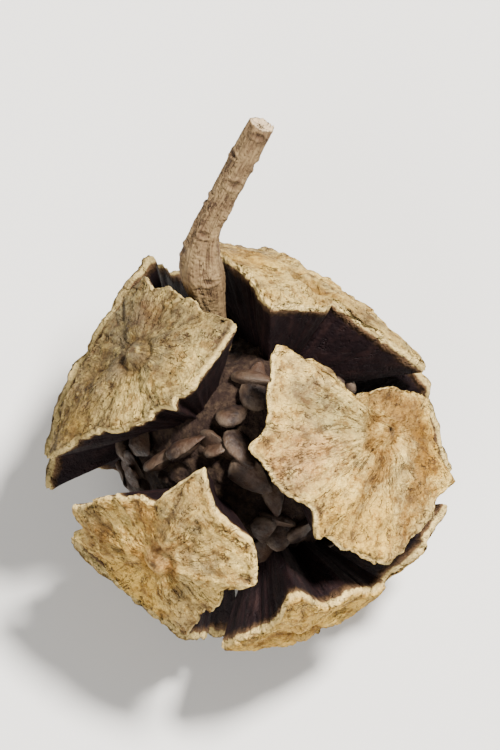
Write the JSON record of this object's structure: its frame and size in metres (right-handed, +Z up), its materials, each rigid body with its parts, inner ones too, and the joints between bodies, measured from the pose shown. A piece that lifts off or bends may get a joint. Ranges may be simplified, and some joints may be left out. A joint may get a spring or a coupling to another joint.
{
  "type": "cypress cone",
  "caption": "Woody, ball-shaped cypress cone, just opened: wrinkled shield-like scales on dark flanks, seeds in the gaps, a short bent stalk, and a small flat spot to rest on.",
  "frame": {"origin": "a point on the small flat spot that the cone rests on, below the middle of the cone", "axes": "+Z up from the flat spot; the cone's own axis leans 43 degrees from upright, its stalk end towards +Y and a little towards -X"},
  "size_m": [0.0313, 0.0344, 0.0358],
  "materials": {
    "woody_scale": "dry and matt, weathered cream-brown faces; the flanks in the gaps are dark purple-brown with a slight sheen",
    "stalk_bark": "dry, matt, pinkish tan"
  },
  "bodies": {
    "root": {"cone": "woody_scale", "stalk": "stalk_bark"}
  },
  "joints": []
}
